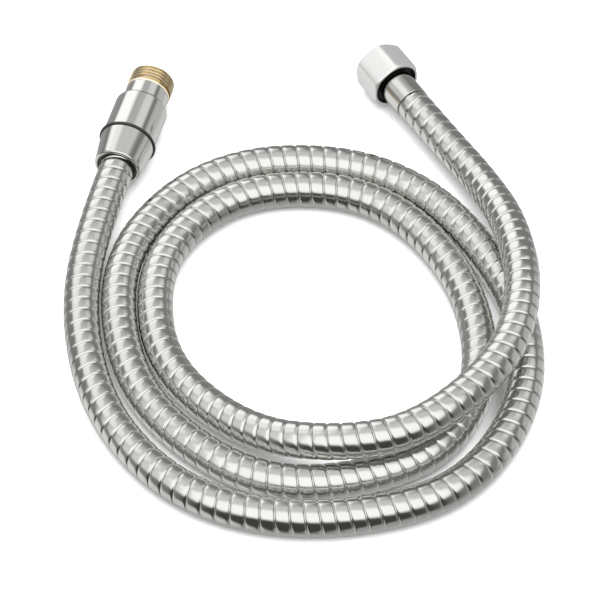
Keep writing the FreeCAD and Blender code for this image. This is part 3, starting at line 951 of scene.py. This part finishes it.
@dataclass
class SwivelEnd(HoseEnd):
    """The swivel at the hose's start: two sleeves, the ring between them and the nipple.

    Sizes are in millimetres, and stations count outwards from the lower sleeve's mouth.

    Attributes:
        fit: Radial clearance of parts that are pressed together.
        hose_depth: How far the hose reaches into the lower sleeve.
        mouth: Inner radius of the lower sleeve's mouth.
        pocket: Inner radius of the sleeve and the entry ring round the hose.
        entry: Stations of the entry ring.
        sleeve: Radii of the lower sleeve at its rim and at its foot.
        sleeve_length: Length of the lower sleeve.
        core: Radius of the bore that the swivel's core sits in.
        seal: Outer radius and thickness of the ring between the sleeves.
        upper: Outer radius of the upper sleeve.
        upper_stations: Stations of the upper sleeve's ends.
        upper_bore: Inner radius of the upper sleeve round the core's flange.
        groove: Stations of the retaining ring's groove, and its radius.
        nose: Stations of the bore round the core's nose, and its radius.
        socket: Radius of the socket that takes the nipple.
        neck: Outer radius of the nipple's neck.
        rim: How far behind the thread the bare rim starts, and how far it stands proud.
        runout: Length and radius of the run-out between neck and thread.
        thread: Major radius of the male thread.
        thread_stations: Stations at which the thread starts and ends.
        chamfer: Chamfer at the thread's tip.
        water: Radius of the water way.
    """

    fit: float = 0.05
    hose_depth: float = 11.0
    mouth: float = 9.35
    pocket: float = 8.05
    entry: Point2 = (0.5, 2.9)
    sleeve: Point2 = (10.7, 12.65)
    sleeve_length: float = 15.6
    core: float = 9.25
    seal: Point2 = (13.4, 1.2)
    upper: float = 12.35
    upper_stations: Point2 = (16.9, 39.1)
    upper_bore: float = 10.65
    groove: Point3 = (18.4, 19.6, 11.35)
    nose: Point3 = (23.0, 34.3, 6.9)
    socket: float = 9.0
    neck: float = 10.1
    rim: Point2 = (2.3, 0.2)
    runout: Point2 = (1.0, 9.3)
    thread: float = 10.478
    thread_stations: Point2 = (49.5, 57.1)
    chamfer: float = 0.8
    water: float = 6.0

    def __post_init__(self) -> None:
        """Work out the axis from the hose's first run."""
        end, along = tip(0, 1)
        self.axis = Axis(end - along * self.hose_depth * MM, along)

    def entry_ring(self) -> None:
        """Build the dark ring in the lower sleeve's mouth."""
        start, end = self.entry
        outer = self.mouth - self.fit
        self.turn("hose_entry_ring", "entry_ring", Slot.DARK_PLASTIC, Body.HOSE, (
            Corner(start, self.pocket, 0.25),
            Corner(start, outer, 0.3),
            Corner(end, outer),
            Corner(end, self.pocket),
        ))

    def lower_sleeve(self) -> None:
        """Build the tapered sleeve that takes the hose."""
        rim, foot = self.sleeve
        end = self.sleeve_length
        inner = self.entry[1]
        self.turn("tapered_sleeve", "lower_sleeve", Slot.CHROME, Body.HOSE, (
            Corner(0.0, self.mouth, 0.25),
            Corner(0.0, rim, 1.0),
            Corner(end, foot, 0.3),
            Corner(end, self.core),
            Corner(self.hose_depth, self.core),
            Corner(self.hose_depth, self.pocket),
            Corner(inner, self.pocket),
            Corner(inner, self.mouth),
        ))

    def seal_ring(self) -> None:
        """Build the black ring that stands proud between the sleeves."""
        outer, thickness = self.seal
        start = self.sleeve_length
        self.turn("black_seal_ring", "sleeve_seal_ring", Slot.RUBBER, Body.HOSE, (
            Corner(start, self.core),
            Corner(start, outer, 0.4),
            Corner(start + thickness, outer, 0.4),
            Corner(start + thickness, self.core),
        ))

    def upper_sleeve(self) -> None:
        """Build the sleeve that turns on the core, with its shoulder and inner steps."""
        start, end = self.upper_stations
        groove_start, groove_end, groove = self.groove
        nose_start, nose_end, nose = self.nose
        self.turn("turning_sleeve", "upper_sleeve", Slot.CHROME, Body.SWIVEL, (
            Corner(start, self.upper_bore),
            Corner(start, self.upper, 0.35),
            Corner(end, self.upper, 1.6),
            Corner(end, self.socket),
            Corner(nose_end, self.socket),
            Corner(nose_end, nose),
            Corner(nose_start, nose),
            Corner(nose_start, self.upper_bore),
            Corner(groove_end, self.upper_bore),
            Corner(groove_end, groove),
            Corner(groove_start, groove),
            Corner(groove_start, self.upper_bore),
        ))

    def nipple(self) -> None:
        """Build the plated neck and its bare male thread."""
        start, end = self.thread_stations
        foot, shoulder = self.nose[1], self.upper_stations[1]
        pressed = self.socket - self.fit
        rim_start, rim = start - self.rim[0], self.neck + self.rim[1]
        runout_start, runout = start - self.runout[0], self.runout[1]
        blank = Turned("nipple", self.axis, Slot.BRASS, (
            Corner(foot, self.water),
            Corner(foot, pressed),
            Corner(shoulder, pressed),
            Corner(shoulder, self.neck, finish=Slot.CHROME),
            Corner(rim_start, self.neck, finish=Slot.BARE_RIM),
            Corner(rim_start, rim, 0.15, finish=Slot.BARE_RIM),
            Corner(runout_start, rim, 0.3),
            Corner(runout_start, runout),
            Corner(start, runout),
            Corner(start, self.thread, row=THREAD_ROW),
            Corner(end - self.chamfer, self.thread, row=THREAD_ROW),
            Corner(end, self.thread - self.chamfer),
            Corner(end, self.water, 0.3),
        ), around=160)
        thread = Thread(self.axis, Gender.MALE, start, end, self.thread)
        threaded = thread.cut(blank.build(self.made), self.made[Slot.BRASS])
        dress(threaded, "thread_nipple", Body.SWIVEL)

    def build(self) -> None:
        """Build every piece of this end that shows."""
        self.entry_ring()
        self.lower_sleeve()
        self.seal_ring()
        self.upper_sleeve()
        self.nipple()


@dataclass
class NutEnd(HoseEnd):
    """The hex union nut at the hose's end, with the ferrule it hangs on.

    Sizes are in millimetres, and stations count outwards from the nut's rear face.

    Attributes:
        ferrule_stations: Stations of the ferrule's smooth collar.
        ferrule: Outer radius of the ferrule.
        ferrule_bore: Inner radius of the ferrule, and the wall behind that bore.
        spigot: Length, inner radius and outer radius of the ferrule's spigot in the hose.
        washer_stations: Stations of the sealing washer.
        washer_radii: Inner and outer radius of the sealing washer.
        length: Length of the nut.
        flats: Width across the nut's flats.
        turned: Radius that its corners are turned to.
        chamfer: Chamfer at each end of the nut.
        softness: How softly the flats' edges are polished.
        recess: Radius and depth of the recess in its rear face.
        lip: Radius of the hole in its inner lip, and the station where the lip ends.
        relief: Radius and end station of the chamber behind the thread.
        bore: Minor radius of the female thread.
        mouth: Chamfer at the nut's mouth.
        pieces: The end's finished pieces.
    """

    ferrule_stations: Point2 = (-13.5, 0.6)
    ferrule: float = 8.2
    ferrule_bore: Point2 = (7.2, 1.2)
    spigot: Point3 = (8.0, 6.25, 6.7)
    washer_stations: Point2 = (6.9, 8.7)
    washer_radii: Point2 = (5.6, 9.1)
    length: float = 16.6
    flats: float = 23.0
    turned: float = 12.75
    chamfer: float = 0.9
    softness: float = 0.4
    recess: Point2 = (10.6, 2.4)
    lip: Point2 = (7.2, 4.4)
    relief: Point2 = (10.5, 8.8)
    bore: float = 9.32
    mouth: float = 0.9
    pieces: List[Piece] = field(default_factory=list)

    def __post_init__(self) -> None:
        """Work out the axis from the hose's last run."""
        end, along = tip(-1, -2)
        self.axis = Axis(end - along * self.ferrule_stations[0] * MM, along)

    def ferrule_collar(self) -> None:
        """Build the smooth collar with its spigot in the hose."""
        start, end = self.ferrule_stations
        bore, wall = self.ferrule_bore
        reach, inner, outer = self.spigot
        collar = self.turn("smooth_ferrule", "nut_ferrule", Slot.CHROME, Body.HOSE, (
            Corner(start - reach, inner),
            Corner(start - reach, outer),
            Corner(start, outer),
            Corner(start, self.ferrule, 0.35),
            Corner(end, self.ferrule, 0.5),
            Corner(end, bore),
            Corner(start + wall, bore),
            Corner(start + wall, inner),
        ), around=96)
        self.pieces.append(collar)

    def washer(self) -> None:
        """Build the rubber washer that shows in the nut's mouth."""
        start, end = self.washer_stations
        inner, outer = self.washer_radii
        ring = self.turn("mouth_washer", "nut_washer", Slot.RUBBER, Body.HOSE, (
            Corner(start, inner, 0.2),
            Corner(start, outer, 0.2),
            Corner(end, outer, 0.3),
            Corner(end, inner, 0.3),
        ), around=96)
        self.pieces.append(ring)

    def hexed(self, radius: float, angle: float) -> float:
        """Hold a radius inside the six flats, with softly polished edges.

        Args:
            radius: Radius of the turned blank.
            angle: Angle round the axis, with a corner straight up.

        Returns:
            The radius of the finished nut.
        """
        sixth = math.pi / 3
        flat = self.flats / 2 / math.cos(angle % sixth - sixth / 2)
        inside = math.exp(-radius / self.softness) + math.exp(-flat / self.softness)
        return -self.softness * math.log(inside)

    def nut(self) -> None:
        """Build the nut with its flats, recess, lip and female thread."""
        recess, recess_depth = self.recess
        hole, lip_end = self.lip
        relief, thread_start = self.relief
        rim = self.turned - self.chamfer
        front = self.length - self.chamfer
        # Width of the finely divided bands beside the chamfers, and rows in and between them.
        band, edge, coarse = 0.6, 0.15, 3.0
        blank = Turned("union_nut", self.axis, Slot.SATIN, (
            Corner(0.0, recess, 0.3),
            Corner(0.0, rim - band, row=edge),
            Corner(0.0, rim, row=edge),
            Corner(self.chamfer, self.turned, row=edge),
            Corner(self.chamfer + band, self.turned, row=coarse),
            Corner(front - band, self.turned, row=edge),
            Corner(front, self.turned, row=edge),
            Corner(self.length, rim, row=edge),
            Corner(self.length, rim - band),
            Corner(self.length, self.bore + self.mouth, row=THREAD_ROW, finish=Slot.CHROME),
            Corner(self.length - self.mouth, self.bore, row=THREAD_ROW, finish=Slot.CHROME),
            # The walls from the thread back to the recess take the dark chrome copy, which paints
            # the shade inside the nut.
            Corner(thread_start, self.bore, finish=Slot.RECESS),
            Corner(thread_start, relief, finish=Slot.RECESS),
            Corner(lip_end, relief, finish=Slot.RECESS),
            Corner(lip_end, hole, finish=Slot.RECESS),
            Corner(recess_depth, hole, 0.2, finish=Slot.RECESS),
            Corner(recess_depth, recess, 0.3, finish=Slot.RECESS),
        ), around=252, trim=self.hexed)
        thread = Thread(self.axis, Gender.FEMALE, thread_start, self.length, self.bore)
        threaded = thread.cut(blank.build(self.made), self.made[Slot.CHROME])
        self.pieces.append(dress(threaded, "hex_nut", Body.NUT))

    def build(self) -> None:
        """Build every piece of this end that shows."""
        self.ferrule_collar()
        self.washer()
        self.nut()


@dataclass
class Hose:
    """The hose itself: the wound steel casing and the water tube inside it, in metres.

    Attributes:
        made: The materials by slot.
        pitch: Distance from one turn of the casing's strip to the next.
        crest: Outer radius of the casing.
        root: Radius at the bottom of its grooves.
        bore: Inner radius of the casing.
        flank: Share of the pitch and of the ribs' height, from a groove up to a rib's middle.
        tube: Outer and inner radius of the water tube.
        tube_pitch: Length of the tube that one turn of its mesh covers.
        tube_reach: How far the tube goes past the casing at the swivel and at the nut.
        length: Length of the casing; not used.
    """

    made: Finishes
    pitch: float = 6.25 * MM
    crest: float = 8.0 * MM
    root: float = 7.35 * MM
    bore: float = 6.75 * MM
    flank: Tuple[Point2, ...] = ((0.0, 0.0), (0.035, 0.27), (0.07, 0.64), (0.115, 0.83),
                                 (0.19, 0.93), (0.325, 0.985))
    tube: Point2 = (6.2 * MM, 4.3 * MM)
    tube_pitch: float = 8.0 * MM
    tube_reach: Point2 = (9.7 * MM, 12.1 * MM)
    length: float = 1.61

    @property
    def strip(self) -> Tuple[Point2, ...]:
        """Whole profile of the strip, from groove to groove."""
        falling = [(1.0 - share, rise) for share, rise in reversed(self.flank)]
        return (*self.flank, (0.5, 1.0), *falling)

    def casing(self) -> None:
        layer = Layer("hose_strip", ROUTE, self.pitch, self.crest, self.root, self.bore,
                      around=28, strip=self.strip)
        wound = dress(layer.build(self.made[Slot.HOSE]), "hose_casing", Body.HOSE)
        points = layer.line()
        length = sum((after - before).length for before, after in zip(points, points[1:]))
        log.info("hose route %.4f m", length)

    def water_tube(self) -> None:
        """Run the water tube through the casing and on to both tailpieces."""
        (start, back), (end, ahead) = tip(0, 1), tip(-1, -2)
        route = [start + back * self.tube_reach[0], *ROUTE[1:-1],
                 end + ahead * self.tube_reach[1]]
        outer, inner = self.tube
        level = tuple((step / 4, 0.0) for step in range(5))
        layer = Layer("water_tube", route, self.tube_pitch, outer, outer, inner,
                      around=16, strip=level)
        dress(layer.build(self.made[Slot.TUBE]), "inner_liner", Body.HOSE)

    def build(self, held: Sequence[object]) -> None:
        """Build the casing and the tube; the pieces that it is given are not used."""
        self.casing()
        self.water_tube()


@dataclass(frozen=True)
class Card:
    """One large soft card of the studio, bright or dark, that polished metal mirrors.

    Attributes:
        bearing: Its bearing in degrees, from straight behind the hose round by the right.
        height: Its height above the table's plane, in degrees.
        inner: Angle from its middle, in degrees, within which it is full.
        outer: Angle from its middle at which it has faded out.
        brightness: Its brightness.
    """

    bearing: float
    height: float
    inner: float
    outer: float
    brightness: float

    @property
    def way(self) -> Vector:
        """Direction of its middle."""
        bearing = math.radians(self.bearing)
        height = math.radians(self.height)
        return Vector((math.sin(bearing) * math.cos(height),
                       math.cos(bearing) * math.cos(height), math.sin(height)))


@dataclass
class Studio:
    """White table, one soft light over it, the cards round it, and the camera.

    Attributes:
        target: Point on the table that the camera looks at.
        elevation: The camera's height above the table, in degrees.
        distance: The camera's distance from its target.
        focal: Focal length as a multiple of the picture's width.
        table: Half the width of the white table.
        white: Colour of the table.
        light_size: Width of the soft light.
        light_height: Height at which it hangs.
        light_power: Power of it, in watts.
        room: Brightness of the room between the cards.
        cards: The cards, a later one over those before it.
    """

    target: Vector = field(default_factory=lambda: Vector((0.0, -0.003, 0.0)))
    elevation: float = 50.0
    distance: float = 1.714
    focal: float = 3836.0 / 605.0
    table: float = 3.0
    white: Colour = (0.92, 0.92, 0.92)
    light_size: float = 3.0
    light_height: float = 2.6
    light_power: float = 125.0
    room: float = 0.29
    cards: Tuple[Card, ...] = (
        Card(0.0, 90.0, 5.0, 62.0, 0.91),       # ceiling
        Card(0.0, -90.0, 35.0, 82.0, 0.56),     # table
        Card(180.0, -6.0, 30.0, 66.0, 0.07),    # dark side
        Card(180.0, 57.0, 20.0, 39.0, 1.57),    # front box, middle
        Card(-138.0, 50.0, 14.0, 37.0, 1.57),   # front box, left
        Card(138.0, 50.0, 14.0, 37.0, 1.57),    # front box, right
        Card(-26.0, 28.0, 13.0, 27.0, 1.60),    # window, lower
        Card(-50.0, 47.0, 8.0, 24.0, 1.32),     # window, upper
        Card(48.0, 42.0, 6.0, 19.0, 1.00),      # right
        Card(70.0, -8.0, 18.0, 31.0, 0.68),     # right, low
        Card(-84.0, -32.0, 14.0, 34.0, 1.05),   # left, low
        Card(-30.0, -18.0, 10.0, 26.0, 0.42),   # behind, left, low
        Card(56.0, -38.0, 8.0, 24.0, 0.85),     # behind, right, low
        Card(-98.0, 34.0, 8.0, 26.0, 1.0),      # left, high
        Card(-126.0, -44.0, 10.0, 30.0, 0.86),  # front, left, low
        Card(148.0, -46.0, 8.0, 26.0, 0.50),    # front, right, low
    )

    def camera(self) -> None:
        """Place the camera as the photograph's stood."""
        data = bpy.data.cameras.new("camera")
        data.sensor_fit = "HORIZONTAL"
        data.sensor_width = 36.0
        data.lens = self.focal * data.sensor_width
        data.clip_end = 20.0
        camera = show("camera", data)
        height = math.radians(self.elevation)
        back = Vector((0.0, -math.cos(height), math.sin(height)))
        camera.location = self.target + back * self.distance
        camera.rotation_euler = back.to_track_quat("Z", "Y").to_euler()
        bpy.context.scene.camera = camera

    def floor(self) -> None:
        """Lay the white table, which metal doesn't mirror."""
        mesh = bpy.data.meshes.new("table")
        size = self.table
        corners = [(-size, -size, 0), (size, -size, 0), (size, size, 0), (-size, size, 0)]
        mesh.from_pydata(corners, [], [(0, 1, 2, 3)])
        table = show("table", mesh)
        made = bpy.data.materials.new("white table")
        made.use_nodes = True
        shader = made.node_tree.nodes["Principled BSDF"]
        shader.inputs["Base Color"].default_value = (*self.white, 1.0)
        shader.inputs["Roughness"].default_value = 0.8
        shader.inputs["Specular IOR Level"].default_value = 0.1
        mesh.materials.append(made)
        table.visible_glossy = False

    def light(self) -> None:
        """Hang the soft light over the table, which metal doesn't mirror."""
        data = bpy.data.lights.new("table light", "AREA")
        data.shape = "SQUARE"
        data.size = self.light_size
        data.energy = self.light_power
        light = show("table light", data)
        light.location = (0.0, 0.0, self.light_height)
        light.visible_glossy = False

    def world(self) -> None:
        """Fill the room with light, and set the cards round it."""
        world = bpy.data.worlds.new("room")
        world.use_nodes = True
        world.node_tree.nodes.clear()
        nodes = Nodes(world.node_tree)
        way = nodes.add("ShaderNodeTexCoord").outputs["Generated"]
        whole: object = (self.room,) * 3 + (1.0,)
        for card in self.cards:
            near = nodes.measure("DOT_PRODUCT", way, card.way)
            share = nodes.smooth(near, math.cos(math.radians(card.outer)),
                                 math.cos(math.radians(card.inner)))
            whole = nodes.blend(share, whole, (card.brightness,) * 3 + (1.0,))
        back = nodes.add("ShaderNodeBackground", {"Color": whole, "Strength": 1.0})
        nodes.add("ShaderNodeOutputWorld", {"Surface": back.outputs[0]})
        bpy.context.scene.world = world

    def build(self) -> None:
        """Set the whole stage."""
        self.camera()
        self.floor()
        self.light()
        self.world()
        bpy.context.scene.view_settings.view_transform = "Standard"


def dress_nodes(made: Finishes) -> None:
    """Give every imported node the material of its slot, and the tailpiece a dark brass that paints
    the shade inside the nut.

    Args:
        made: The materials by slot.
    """
    for part in frame["record"]["subparts"]:
        node = frame["nodes"][part["node"]]
        node.data.materials.clear()
        node.data.materials.append(made[Slot(part["material_slot"])])
    # The tailpiece inside the nut takes the dark brass copy, which paints its shade.
    tailpiece = frame["nodes"]["nut_tailpiece"]
    tailpiece.data.materials[0] = made[Slot.SHADE_PAINTED_BRASS]


def main() -> None:
    """Build the stage and every piece of the hose."""
    Studio().build()
    made = finishes()
    dress_nodes(made)
    nut_end = NutEnd(made)
    nut_end.build()
    Hose(made).build([*nut_end.pieces, frame["nodes"]["nut_tailpiece"]])
    SwivelEnd(made).build()


if __name__ == "__main__":
    main()
